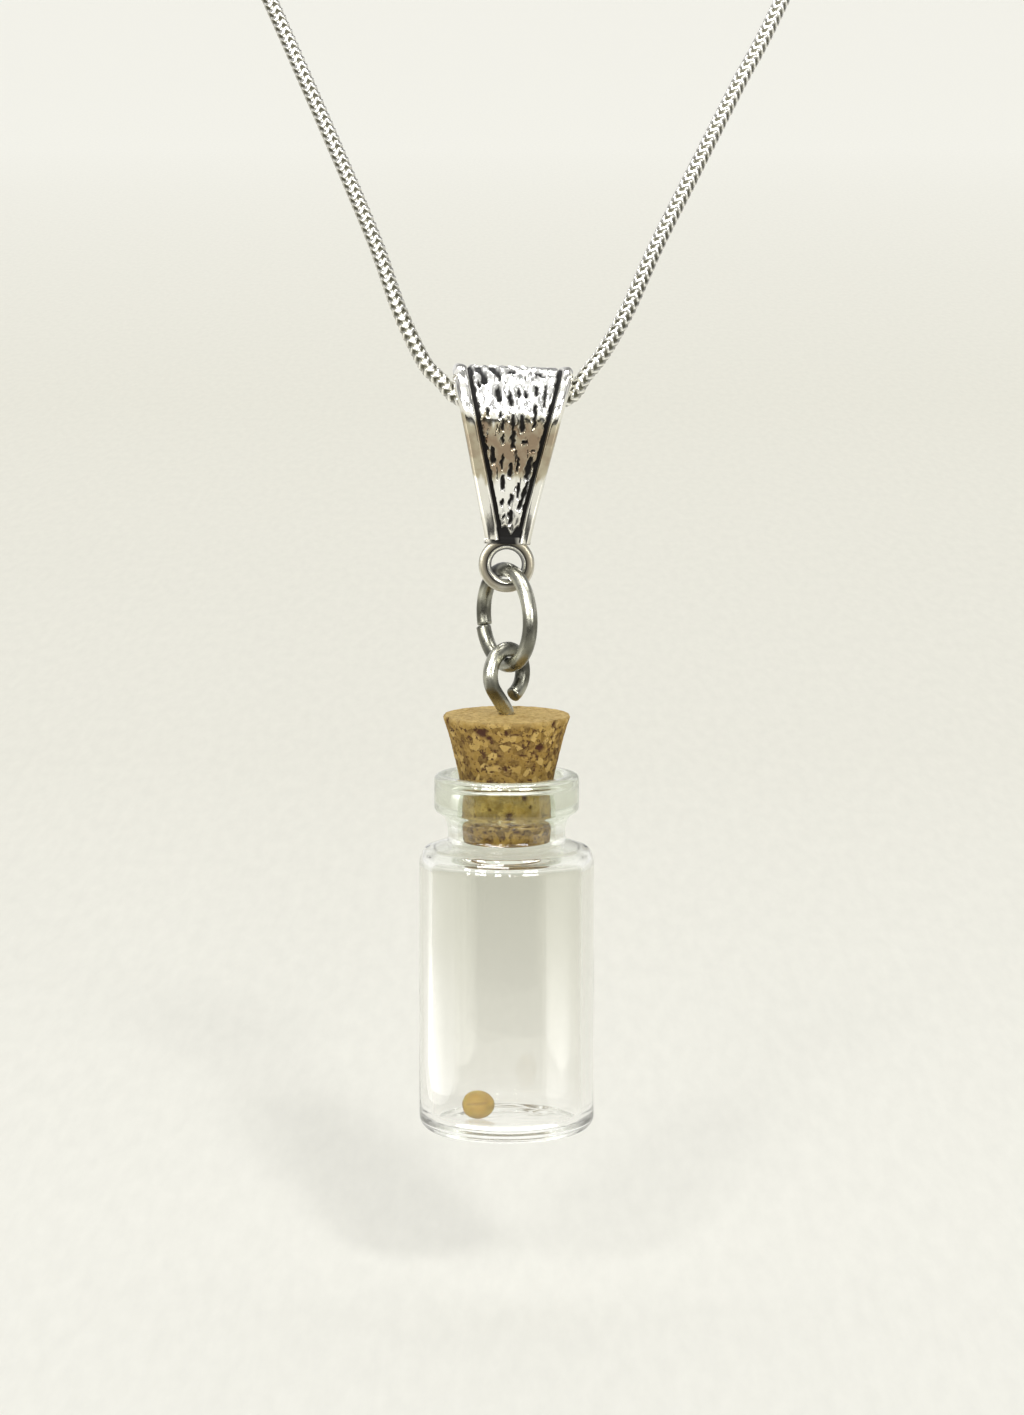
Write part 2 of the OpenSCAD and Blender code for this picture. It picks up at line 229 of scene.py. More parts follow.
def bright_steel():
    """Wire with light and dark patches along it, nearly black where painted shade lies on it."""
    material, tree, bsdf = new_material("bright_steel")
    grey = ramp(tree, noise_value(tree, 420, 3), (0.36, (0.13, 0.127, 0.10)),
                (0.5, (0.28, 0.275, 0.225)), (0.64, (0.46, 0.452, 0.375)))
    feed(tree, bsdf, {
        "Base Color": mix_colour(tree, painted(tree, "painted_shade_and_wear"), grey, STEEL_SHADE_BLACK),
        "Metallic": 1.0,
        "Roughness": ramp(tree, noise_value(tree, 2500, 3), (0.3, 0.22), (0.7, 0.36))})
    bump(tree, bsdf, noise_value(tree, 700, 2), 0.35, 0.00006)
    return material


def clear_glass():
    """Clear glass with a faint green tint, partly painted shade, as strong as the vial's mesh says.
    """
    material, tree, bsdf = new_material("clear_glass")
    tone = ramp(tree, painted(tree, "tint"), (0.0, (0.99, 0.99, 0.985)),
                (0.5, (0.952, 0.948, 0.935)), (0.7, (0.842, 0.844, 0.80)),
                (1.0, (0.69, 0.72, 0.62)))
    feed(tree, bsdf, {"Base Color": tone, "Roughness": 0.0, "IOR": 1.5,
                      "Transmission Weight": 1.0})
    bump(tree, bsdf, noise_value(tree, 180, 2), 0.06, 0.0002)
    return material


def pressed_cork():
    """Granules of every tan, fibres and dark specks, smoother and paler on top."""
    material, tree, bsdf = new_material("pressed_cork")
    grains = add_node(tree, "TexVoronoi", {
        "Vector": object_point(tree), "Scale": 2300.0}).outputs["Color"]
    grain_tone = add_node(tree, "SeparateColor", {"Color": grains}).outputs[0]
    tone = ramp(tree, grain_tone, (0.0, (0.12, 0.062, 0.012)), (0.4, (0.31, 0.185, 0.036)),
               (0.75, (0.42, 0.265, 0.06)), (1.0, (0.66, 0.46, 0.15)))
    fibre = ramp(tree, noise_value(tree, 3000, 5, 0.7), (0.42, 0.0), (0.68, 0.6))
    tone = mix_colour(tree, fibre, tone, FIBRE_TAN)
    specks = ramp(tree, noise_value(tree, 3300, 5, 0.7), (0.40, 1.0), (0.46, 0.0))
    tone = mix_colour(tree, specks, tone, SPECK_BROWN)
    top = painted(tree, "top")
    smooth_top = ramp(tree, noise_value(tree, 2600, 5, 0.7), (0.32, (0.40, 0.245, 0.06)),
                      (0.66, (0.72, 0.53, 0.20)))
    tone = mix_colour(tree, top, tone, smooth_top)
    # Dark brown in the pits: partly their own colour, partly painted shade in the hollows.
    tone = mix_colour(tree, painted(tree, "pit"), tone, PIT_SHADE_BROWN)
    feed(tree, bsdf, {"Base Color": tone, "Roughness": 0.85, "Specular IOR Level": 0.2})
    crumb = bump(tree, bsdf, grain_tone, 0.8, 0.00012)
    bump(tree, bsdf, noise_value(tree, 4200, 4, 0.65), 0.7, 0.00016, crumb)
    return material


def mustard_seed():
    """A dull mustard-yellow skin, browner in its crease."""
    material, tree, bsdf = new_material("mustard_seed")
    tone = ramp(tree, noise_value(tree, 1500, 5, 0.6), (0.3, (0.33, 0.205, 0.030)),
                (0.55, (0.43, 0.285, 0.048)), (0.75, (0.54, 0.385, 0.09)))
    feed(tree, bsdf, {
        "Base Color": mix_colour(tree, painted(tree, "crease"), tone, CREASE_BROWN),
        "Roughness": 0.55, "Subsurface Weight": 0.15, "Subsurface Scale": 0.0004})
    bump(tree, bsdf, noise_value(tree, 7000, 3), 0.35, 0.00003)
    return material


def pale_floor():
    """Pale paper: a fine grain, and painted shade a hand's breadth behind the pendant."""
    material, tree, bsdf = new_material("pale_floor")
    depth = parts_of(tree, object_point(tree))["Y"]
    # Painted shade across the floor, deepest a hand's breadth behind the pendant.
    shade = ramp(tree, share_between(tree, depth, -0.1, 1.9), (0.0, (0.86, 0.85, 0.775)),
                 (0.12, (0.79, 0.775, 0.69)), (0.35, (0.775, 0.76, 0.67)),
                 (1.0, (0.87, 0.86, 0.79)))
    grain = ramp(tree, noise_value(tree, 900, 3, 0.6, stretch=(1, 0.16, 1)),
                 (0.3, 0.955), (0.7, 1.0))
    feed(tree, bsdf, {"Base Color": mix_colour(tree, 1.0, shade, grain, "MULTIPLY"),
                      "Roughness": 0.9, "Specular IOR Level": 0.1})
    return material


# Mesh helpers

DOUBLES = 1e-4


def close_up(bm):
    """Merges doubled points and turns all faces outwards."""
    bmesh.ops.remove_doubles(bm, verts=bm.verts, dist=DOUBLES)
    bmesh.ops.recalc_face_normals(bm, faces=bm.faces)


def lathe(profile, steps):
    """A surface turned round the Z axis from (radius, height) points."""
    bm = bmesh.new()
    points = [bm.verts.new((r, 0, z)) for r, z in profile]
    for a, b in zip(points, points[1:]):
        bm.edges.new((a, b))
    bmesh.ops.spin(bm, geom=bm.verts[:] + bm.edges[:], axis=(0, 0, 1), angle=tau, steps=steps,
                   use_merge=True)
    close_up(bm)
    return bm


def arc(x, z, r, start, end, steps):
    """Points of an arc around (x, z), between two angles in degrees."""
    turn = [radians(start + (end - start) * i / steps) for i in range(steps + 1)]
    return [(x + r * cos(t), z + r * sin(t)) for t in turn]


def turned(axis, turn):
    return Matrix.Rotation(radians(turn), 4, axis)


def moved(x, y, z):
    return Matrix.Translation((x, y, z))


def grid_places(bm, columns, rows):
    """Lays a flat grid, and gives each of its points with its column and its row."""
    bmesh.ops.create_grid(bm, x_segments=columns, y_segments=rows, size=1)
    return [(v, round((v.co.x + 1) / 2 * columns), round((v.co.y + 1) / 2 * rows))
            for v in bm.verts]


def ease(low, high, value):
    """Nothing at low, one at high, and a smooth rise between them."""
    t = min(max((value - low) / (high - low), 0.0), 1.0)
    return t * t * (3 - 2 * t)


def bell(value, middle, reach):
    """One at the middle, and nothing from the reach on."""
    return 1 - ease(0.35 * reach, reach, abs(value - middle))


def mesh_of(name, bm):
    mesh = bpy.data.meshes.new(name)
    bm.to_mesh(mesh)
    bm.free()
    return mesh


def scene_object(name, bm, material):
    mesh = mesh_of(name, bm)
    mesh.materials.append(material)
    made = bpy.data.objects.new(name, mesh)
    scene.collection.objects.link(made)
    return made


def finish_piece(name, bm, material, body, node, place, sharp=None):
    """Turns a bmesh in millimetres into a piece at its place, which stands for a CAD node."""
    bm.transform(Matrix.Scale(0.001, 4) @ place)
    piece = scene_object(name, bm, material)
    piece.data.shade_smooth()
    if sharp:
        piece.data.set_sharp_from_angle(angle=radians(sharp))
    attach(piece, body)
    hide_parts(node)


# Chain

# Points of its route. The sides count from the clasp at the nape, the front from the bail's top.
ROUTE_LEFT = [
    (-5.5, 0, 0), (-10, -0.2, -0.2), (-23, -3.7, -3.4), (-38, -13.5, -10),
    (-49.5, -28, -19.5), (-55, -44.5, -31.2), (-52.2, -57, -43), (-44.7, -66.5, -58),
    (-35, -75.5, -78), (-25.2, -84.5, -98.6)]
ROUTE_RIGHT = [
    (27.6, -84.5, -98.6), (37.4, -75.5, -78), (46.2, -66.5, -58), (52.9, -57, -43),
    (55.2, -44.5, -31.2), (49.5, -28, -19.5), (38, -13.5, -10), (23, -3.7, -3.4),
    (10, -0.2, -0.2), (5.5, 0, 0)]
ROUTE_FRONT = [
    (-15.1, 7.9, 22.9), (-12.5, 5.4, 17.3), (-10.1, 3.3, 12), (-8.1, 1.5, 7.4),
    (-6.6, 0.4, 3.3), (-5.1, 0, 0.2), (-4.1, 0, -0.9), (-3, 0, -2), (-1, 0, -2.5),
    (1.6, 0, -2.55), (3.9, 0, -1.95), (4.9, 0, -0.6), (6, 0.1, 0.8), (7.5, 0.5, 3.4),
    (9.3, 1.5, 7.3), (11.6, 3.2, 11.7), (14.4, 5.5, 17), (17.7, 8.2, 23.2)]
ROUTE_STEPS = 24
# How far the chain's ends stay off the floors of the clasp's bores.
BORE_END_GAP = 0.3
LINK_PITCH, LINK_SIDES, LINK_TURN = 0.515, 16, 22
# One link from groove to groove: share of the pitch, share of the radius, how dark its painted
# shade is.
LINK = [(0.0, 0.62, 1.0), (0.24, 0.84, 0.95), (0.40, 1.0, 0.1), (0.62, 0.98, 0.1),
        (0.78, 0.82, 0.95)]
# How far a link is bent along the chain, and the length over which that fades at the ends.
ZIGZAG, ZIGZAG_FADE = 0.34, 0.6


def chain_path():
    """Points along the chain's smooth route, from the left end in the clasp to the right one."""
    end = CLASP_LEN / 2 - CLASP_BORE_DEPTH + BORE_END_GAP
    route = [Vector(p) for p in [(-end, 0, 0)] + ROUTE_LEFT]
    route += [Vector(p) + PENDANT for p in ROUTE_FRONT]
    route += [Vector(p) for p in ROUTE_RIGHT + [(end, 0, 0)]]
    last = len(route) - 1
    fine = []
    for i in range(last):
        a, b, c, d = (route[min(max(k, 0), last)] for k in (i - 1, i, i + 1, i + 2))
        for k in range(ROUTE_STEPS):
            t = k / ROUTE_STEPS
            fine.append(0.5 * (2 * b + (c - a) * t + (2 * a - 5 * b + 4 * c - d) * t ** 2
                               + (3 * b - a - 3 * c + d) * t ** 3))
    fine.append(route[-1])
    return fine


def link_rows(fine):
    """Each row of points along the chain: its point, heading and two directions across, share
    of the radius, painted shade and share of the zigzag, which fades out at the chain's ends."""
    lengths = [0.0]
    for a, b in zip(fine, fine[1:]):
        lengths.append(lengths[-1] + (b - a).length)
    total = lengths[-1]
    links = round(total / LINK_PITCH)
    pitch = total / links
    rows = []
    at = 0
    for row in range(links * len(LINK) + 1):
        share, radius, dark = LINK[row % len(LINK)]
        s = min((row // len(LINK) + share) * pitch, total)
        while at < len(lengths) - 2 and lengths[at + 1] < s:
            at += 1
        t = (s - lengths[at]) / (lengths[at + 1] - lengths[at])
        heading = (fine[at + 1] - fine[at]).normalized()
        across = heading.cross(Vector((0, 0, 1))).normalized()
        bent = min(1.0, s / ZIGZAG_FADE, (total - s) / ZIGZAG_FADE)
        rows.append((fine[at].lerp(fine[at + 1], t), heading, across, across.cross(heading),
                     radius, dark, bent))
    return rows


def snake_chain():
    """A round snake chain: rings of metal bent to a zigzag, close behind each other. Every
    fourth column is a spine that stands up to the full width."""
    rows = link_rows(chain_path())
    bm = bmesh.new()
    groove = bm.verts.layers.float.new("groove")
    for v, column, row in grid_places(bm, LINK_SIDES, len(rows) - 1):
        point, heading, across, upward, radius, dark, bent = rows[row]
        turn = tau * column / LINK_SIDES + radians(LINK_TURN)
        spine = column % 4 == 0
        radius = 0.3 * radius + 0.7 if spine else radius
        zigzag = abs((4 * column / LINK_SIDES) % 1 - 0.5) * 2 - 0.5
        reach = CHAIN_D / 2 * radius * (1 - 0.04 * (column % 4 == 2))
        v.co = point + heading * (zigzag * ZIGZAG * bent) + reach * (
            across * cos(turn) + upward * sin(turn))
        # Painted shade darkens the grooves between the links; the spines stay bare.
        v[groove] = 0.0 if spine else dark
    bmesh.ops.remove_doubles(bm, verts=bm.verts, dist=DOUBLES)
    bmesh.ops.holes_fill(bm, edges=[e for e in bm.edges if e.is_boundary], sides=0)
    bmesh.ops.recalc_face_normals(bm, faces=bm.faces)
    finish_piece("snake_chain", bm, chain_silver(), "necklace", "chain", Matrix())


def barrel_clasp():
    """A plain barrel with rounded ends and a bored mouth for the chain at each, two lines
    turned near each end and two round its middle."""
    r, half = CLASP_D / 2, CLASP_LEN / 2
    bore, chamfer, rounding = CLASP_BORE / 2, 0.08, 0.35
    profile = [(0, half - CLASP_BORE_DEPTH), (bore, half - CLASP_BORE_DEPTH),
               (bore, half - chamfer), (bore + chamfer, half)]
    profile += arc(r - rounding, half - rounding, rounding, 90, 0, 5)
    for z in (half - 1.2, half - 1.6, 0.1):
        profile += [(r, z + 0.09), (r - 0.1, z + 0.03), (r - 0.1, z - 0.03), (r, z - 0.09)]
    profile += [(a, -b) for a, b in reversed(profile)]
    finish_piece("barrel_clasp", lathe(profile, 48), bright_steel(), "necklace",
                 "clasp", turned("Y", 90), sharp=40)


# Bail

# Slits of the bark pattern on the front, in millimetres from the middle and under the fold's
# top: x and z of both ends, and half the width.
SLITS = [
    (-2.36, 0.1, -1.87, -0.35, 0.15), (-1.87, -0.35, -1.69, -0.85, 0.14),
    (-1.5, 0.1, -0.93, -0.3, 0.14), (-0.93, -0.3, -0.8, -0.65, 0.13),
    (-0.27, -0.25, 0.16, -0.25, 0.07), (1.41, -0.25, 1.96, -0.45, 0.08),
    (-2.04, -0.85, -2.04, -1.09, 0.1), (-0.9, -1.25, -0.82, -1.88, 0.15),
    (-0.14, -1.48, -0.04, -2.19, 0.12), (0.37, -1.17, 0.42, -1.72, 0.08),
    (0.83, -1.32, 0.83, -1.64, 0.11), (1.49, -1.09, 1.49, -1.56, 0.1),
    (2.02, -1.09, 1.98, -2.19, 0.09), (-1.45, -2.43, -1.45, -2.9, 0.09),
    (-0.69, -2.74, -0.69, -2.98, 0.07), (1.47, -2.27, 1.4, -3.53, 0.1),
    (0.1, -2.98, 0.1, -3.69, 0.12), (0.64, -2.9, 0.68, -3.85, 0.13),
    (-0.49, -3.2, -0.53, -3.85, 0.07), (0.14, -3.93, 0.14, -4.87, 0.12),
    (-0.46, -4.24, -0.5, -4.64, 0.1), (0.78, -4.56, 1.04, -4.56, 0.07),
    (1.26, -5.1, 1.46, -5.1, 0.06), (-1.12, -5.03, -1.04, -5.9, 0.12),
    (-0.48, -5.5, -0.5, -6.29, 0.08), (0.47, -5.74, 0.43, -6.45, 0.09),
    (0.08, -6.06, 0.03, -6.77, 0.11), (1.25, -5.66, 1.04, -6.85, 0.15),
    (-0.4, -6.85, -0.42, -7.56, 0.11), (0.58, -7.3, 0.54, -8.03, 0.08),
    (1.14, -7.16, 0.66, -8.82, 0.1), (0.18, -8.03, 0.04, -8.58, 0.1),
    (-0.4, -8.3, -0.42, -8.58, 0.08), (0.15, -9.05, 0.13, -9.68, 0.12),
    (-0.27, -9.29, -0.27, -9.45, 0.09)]
# Widths of the front's two rims and of the groove beside each.
RIM_LEFT, RIM_RIGHT, GROOVE_W = 0.88, 0.64, 0.26
# Depth of grooves and slits, height of a slit's burr, and how far the panel sinks at its foot.
RELIEF, BURR, FOOT_SINK = 0.2, 0.045, -0.3
RIM_STEPS, GROOVE_STEPS, PANEL_STEPS = 10, 5, 72
STRIP_STEPS, FOLD_STEPS = 92, 72
# Half the gap left where the two strips meet.
INSIDE_GAP = 0.012
# The loop's face from its hole outwards, as place and height against the flat: chamfer, raised
# line, groove and flat. Then the same from its outer edge, back from the flat over the bevel.
LOOP_LINE = [(0, -0.22), (0.09, -0.12), (0.18, -0.03), (0.22, -0.01), (0.26, -0.07),
             (0.29, -0.13), (0.34, -0.07)]
LOOP_BEVEL = [(0.2, -0.06), (0.05, -0.13), (0, -0.2)]


def fold_path():
    """The strip's outer side outline: (depth, height) from the front foot over the fold to the
    back foot. Each strip leaves the fold straight and ends upright at the foot."""
    lean = radians(FOLD_LEAN)
    top_y, top_z = FOLD_R * cos(lean), -FOLD_R - FOLD_R * sin(lean)
    drop = top_z + BAIL_H
    half = []
    for i in range(STRIP_STEPS):
        t = 1 - i / STRIP_STEPS
        y = ((2 * t ** 3 - 3 * t ** 2 + 1) * top_y
             - (t ** 3 - 2 * t ** 2 + t) * drop * tan(lean)
             + (3 * t ** 2 - 2 * t ** 3) * FOOT_HALF)
        half.append((y, top_z - t * drop))
    for i in range(FOLD_STEPS):
        t = -lean + (pi / 2 + lean) * i / FOLD_STEPS
        half.append((FOLD_R * cos(t), -FOLD_R + FOLD_R * sin(t)))
    return [(-y, z) for y, z in half] + [(0.0, 0.0)] + list(reversed(half))


def slit_depth(x, z, front):
    """How far a point lies in a slit, from 0 to 1."""
    if not front:
        x = -x
    x += 0.13 * noise((x * 4, z * 3.1, 5))
    z += 0.16 * noise((x * 4, z * 3.1, 11))
    deepest = 0.0
    for x0, z0, x1, z1, w in SLITS:
        if abs(z - (z0 + z1) / 2) > abs(z0 - z1) / 2 + 0.25:
            continue
        dx, dz = x1 - x0, z1 - z0
        t = min(max(((x - x0) * dx + (z - z0) * dz) / (dx * dx + dz * dz), 0), 1)
        away = hypot(x - x0 - t * dx, (z - z0 - t * dz) * 0.8)
        taper = 1.5 * w * (1 - 0.3 * abs(2 * t - 1))
        deepest = max(deepest, 1 - ease(taper * 0.62, taper * 1.15 + 0.02, away))
    return deepest


def slit_lip(depth):
    """A low burr along the edge of a slit."""
    return max(0.0, 1 - abs(depth - 0.25) / 0.25)


def bark_line(x, y, z):
    """Fine broken lines along the strip, between the slits."""
    line = abs(noise((x * 1.9, y * 0.4 + 3, z * 0.42 + 2)))
    broken = ease(0.02, 0.22, noise((x * 1.1, y + 8, z * 1.25)))
    return (1 - ease(0.012, 0.04, line)) * broken * 0.85


def ragged_edge(x, z, from_groove):
    """How far a point lies in the notches that the grooves cut into the panel's sides."""
    side = 1 if x > 0 else -1
    notch = max(noise((side * 7, 0, z * 1.9)) + 0.1, 0)
    reach = 0.04 + (0.24 + 0.14 * ease(-7.5, -6.0, z)) * notch
    return 1 - ease(0.5 * reach, reach, from_groove)


def bark_panel(x, y, z, from_groove):
    """Height, darkness and how far in a slit, of a point of the bark-patterned panel."""
    front = y < 0
    slit = max(slit_depth(x, z, front), bark_line(x, y, z), ragged_edge(x, z, from_groove))
    grain = noise((x * 2.6, y * 0.7, z * 0.75 + (0 if front else 9)))
    fine = noise((x * 6.5, y * 1.4 + 4, z * 1.7))
    height = -0.06 + 0.06 * grain + 0.025 * fine + BURR * slit_lip(slit) - RELIEF * 0.9 * slit
    stroke = noise((x * 4.5, y * 1.5 + 6, z * 1.6 + 1))
    dark = max(slit, 0.6 * ease(0.1, 0.26, stroke) * ease(-2.7, -2.2, z))
    ends = ease(-10.0, -10.2, z + 0.45 * noise((x * 2.3, 1, 4)))
    height += (FOOT_SINK - height) * ends
    return height, max(dark, ends), slit


def bail_columns():
    """Where the strip's columns lie: the part they belong to, the share across it, the side."""
    columns = [("rim", i / RIM_STEPS, -1) for i in range(RIM_STEPS)]
    columns += [("groove", i / GROOVE_STEPS, -1) for i in range(GROOVE_STEPS)]
    columns += [("panel", i / PANEL_STEPS, 0) for i in range(PANEL_STEPS + 1)]
    columns += [("groove", 1 - i / GROOVE_STEPS, 1) for i in range(1, GROOVE_STEPS + 1)]
    columns += [("rim", 1 - i / RIM_STEPS, 1) for i in range(1, RIM_STEPS + 1)]
    return columns


def bail_surface(columns, path, column, row):
    """Outer point, inner point, darkness and patina of the strip at a column and row."""
    y, z = path[row]
    y0, z0 = path[max(row - 1, 0)]
    y1, z1 = path[min(row + 1, len(path) - 1)]
    out = Vector((0, -(z1 - z0), y1 - y0)).normalized()
    half_w = BAIL_TOP_W / 2 + z * (BAIL_TOP_W - BAIL_FOOT_W) / 2 / BAIL_H
    over = ease(-0.6, 0.6, y)
    left = RIM_LEFT + (RIM_RIGHT - RIM_LEFT) * over
    right = RIM_RIGHT + (RIM_LEFT - RIM_RIGHT) * over
    part, share, side = columns[column]
    rim = left if side < 0 else right
    if part == "rim":
        x = side * (half_w - rim * share)
        height = -0.3 * max(1 - share / 0.4, 0) ** 2 - 0.1 * max((share - 0.75) / 0.25, 0) ** 2
        height += 0.03 * noise((x * 1.5, y * 0.6, z * 0.5))
        dark = 0.0
    elif part == "groove":
        x = side * (half_w - rim - GROOVE_W * share)
        depth = ease(0, 0.3, share) * (1 - ease(0.75, 1.0, share) * 0.7)
        height = -0.10 - RELIEF * depth
        ends = ease(-9.95, -10.2, z)
        dark = ease(0.1, 0.35, depth) * (1 - ends) + ends
    else:
        low, high = -half_w + left + GROOVE_W, half_w - right - GROOVE_W
        x = low + (high - low) * share
        height, dark, slit = bark_panel(x, y, z, min(x - low, high - x))
    ragged_end = 0.5 * noise((x * 1.5, 3, 0)) + 0.4 * noise((x * 5, 3, z * 2))
    middle = ease(-2.8, -3.6, z + ragged_end)
    aslant = 0.9 * (share - 0.3) if part == "rim" else 0.0
    patina = middle * (1 - ease(-6.4, -7.1, z + ragged_end + aslant))
    patina = max(patina, 0.2 * ease(-9.1, -9.5, z))
    # The slits' lips lose their patina, so that bare silver shows there as a painted highlight.
    if part == "panel":
        patina *= 1 - 0.9 * slit_lip(slit)
    else:
        patina = 0.12 + 0.73 * patina
    surface = Vector((0, y, z))
    inner = surface - out * BAIL_WALL
    if y < 0:
        inner.y = min(inner.y, -INSIDE_GAP)
    elif y > 0:
        inner.y = max(inner.y, INSIDE_GAP)
    outer = surface + out * height
    outer.x = inner.x = x
    facing = 1 if y < 0 else -1
    slant = -0.15 * x / (BAIL_FOOT_W / 2) * ease(-8.5, -BAIL_H, z) * facing
    outer.z += slant
    inner.z += slant
    return outer, inner, dark, patina


def bail_loop():
    """The loop under the foot: a flat ring with a fine raised line round its hole."""
    b, t = LOOP_BAND / 2, LOOP_T / 2
    side = [(-b + x, t + z) for x, z in LOOP_LINE] + [(b - x, t + z) for x, z in LOOP_BEVEL]
    mid = LOOP_HOLE_R + b
    ring = lathe([(mid + x, z) for x, z in side] + [(mid + x, -z) for x, z in reversed(side)]
                 + [(mid + side[0][0], side[0][1])], 96)
    ring.transform(moved(0, 0, -LOOP_DROP) @ turned("X", 90))
    return ring


def bail_shoulders():
    """The low rounded block that joins both strips to the loop."""
    bm = bmesh.new()
    bmesh.ops.create_cube(bm, size=1)
    bm.transform(moved(0, 0, -BAIL_H + 0.08) @ Matrix.Diagonal((2.5, 0.8, 0.3, 1)))
    for v in bm.verts:
        if v.co.z < -BAIL_H:
            v.co.x *= 1.2
            v.co.z -= 0.14
    bmesh.ops.subdivide_edges(bm, edges=bm.edges[:], cuts=5, use_grid_fill=True)
    bmesh.ops.smooth_vert(bm, verts=bm.verts, factor=0.5, use_axis_x=True,
                          use_axis_y=True, use_axis_z=True)
    return bm


def loop_oxide_and_shade(point):
    """Darkness and patina of the loop: nearly black round its line and, as painted shade, on its
    hole's wall and chamfer, less so below; grey on its flat face."""
    rise = point.z + LOOP_DROP
    away = hypot(point.x, rise)
    band = away - LOOP_HOLE_R
    low = 1 - ease(-0.85, -0.45, rise / max(away, 0.01))
    line = ease(0.22, 0.25, band) * (1 - ease(0.33, 0.37, band))
    # Painted shade on the hole's wall and chamfer, weaker at the bottom of the hole.
    wall = 1 - ease(0.01, 0.05, band)
    face = ease(0.24, 0.3, band) * (1 - 0.6 * ease(0.66, 0.78, band))
    chamfer = (0.85 - 0.6 * low) * (1 - ease(0.06, 0.15, band))
    return max(0.95 * line, (0.96 - 0.5 * low) * wall, chamfer, 0.42 * face), 0.62 * face


def shoulder_finish(point):
    """Darkness and patina of the shoulders: black in the middle, bare at both ends."""
    return 1 - ease(0.8, 1.1, abs(point.x + 0.1)), 0.3


def bail():
    """A strip folded over the chain, with smooth rims round a bark-patterned panel, and a flat
    loop under its foot."""
    columns, path = bail_columns(), fold_path()
    bm = bmesh.new()
    dark_layer, patina_layer = (bm.verts.layers.float.new(n) for n in ("dark", "patina"))
    column_layer, row_layer = (bm.verts.layers.int.new(n) for n in ("column", "row"))
    for v, column, row in grid_places(bm, len(columns) - 1, len(path) - 1):
        v[column_layer], v[row_layer] = column, row
    skin = bmesh.ops.extrude_face_region(bm, geom=bm.faces[:], use_keep_orig=True)
    inside = {g for g in skin["geom"] if isinstance(g, bmesh.types.BMVert)}
    known = {}
    for v in bm.verts:
        cell = (v[column_layer], v[row_layer])
        if cell not in known:
            known[cell] = bail_surface(columns, path, *cell)
        outer, inner, dark, patina = known[cell]
        v.co = inner if v in inside else outer
        v[dark_layer] = 0.0 if v in inside else dark
        v[patina_layer] = 0.0 if v in inside else patina
    for part, finish in ((bail_loop(), loop_oxide_and_shade), (bail_shoulders(), shoulder_finish)):
        mesh = mesh_of("joined", part)
        before = len(bm.verts)
        bm.from_mesh(mesh)
        bpy.data.meshes.remove(mesh)
        bm.verts.ensure_lookup_table()
        for v in bm.verts[before:]:
            v[dark_layer], v[patina_layer] = finish(v.co)
    bmesh.ops.recalc_face_normals(bm, faces=bm.faces)
    place = moved(BAIL_SHIFT, PENDANT.y, PENDANT.z) @ turned("Y", BAIL_LEAN)
    finish_piece("folded_bail", bm, antiqued_silver(), "bail", "bail", place,
                 sharp=60)


# Ring and eye

# How far the wire's ends are rounded, and how wide their flat middle is.
WIRE_SIDES = 20
WIRE_END, WIRE_END_SHARE = 0.06, 0.82


def wire_from(points, wire):
    """Round wire along a list of points, with closed, slightly rounded ends."""
    bm = bmesh.new()
    count = len(points)
    for v, _, row in grid_places(bm, WIRE_SIDES, count + 3):
        turn = (v.co.x + 1) / 2 * tau
        row -= 2
        i = min(max(row, 0), count - 1)
        heading = (points[min(i + 1, count - 1)] - points[max(i - 1, 0)]).normalized()
        across = Vector((0, 1, 0))
        upward = across.cross(heading)
        r, beyond = wire / 2, 0.0
        if row < 0 or row > count - 1:
            past = -row if row < 0 else row - count + 1
            r *= WIRE_END_SHARE if past == 1 else 0.0
            beyond = WIRE_END if row > 0 else -WIRE_END
        v.co = points[i] + heading * beyond + r * (across * cos(turn) + upward * sin(turn))
    close_up(bm)
    return bm


def arc_points(x, z, r, start, end, steps):
    return [Vector((px, 0, pz)) for px, pz in arc(x, z, r, start, end, steps)]


def jump_ring():
    """An open ring of round wire. Its two cut ends meet a hair out of line. Painted shade darkens
    it at both sides and, on its far half, where it passes the loop and the eye."""
    half_cut = RING_CUT / 2 + degrees(WIRE_END / RING_R)
    cut_at = 196
    points = arc_points(0, 0, RING_R, cut_at + half_cut, cut_at + 360 - half_cut, 120)
    for i, p in enumerate(points):
        p.y = 0.05 * (2 * i / (len(points) - 1) - 1) ** 3
    bm = wire_from(points, RING_WIRE)
    place = moved(0, PENDANT.y, RING_Z) @ turned("Z", RING_TURN)
    # Painted shade: darker beside its middle on both sides, and behind, at its top where it passes
    # the loop and at its bottom where it passes the eye.
    painted_shade_and_wear = bm.verts.layers.float.new("painted_shade_and_wear")
    for v in bm.verts:
        at = place @ v.co
        behind = ease(-0.3, 0.4, at.y - PENDANT.y)
        side = 0.55 * bell(at.z, -158.5, 0.9) if at.x < 0 else 0.66 * bell(at.z, -159.1, 1.3)
        v[painted_shade_and_wear] = max(side, behind * (ease(-157.3, -156.5, at.z)
                                      + 0.8 * ease(-160.7, -161.4, at.z)))
    finish_piece("jump_ring_wire", bm, bright_steel(), "ring", "jump_ring", place)


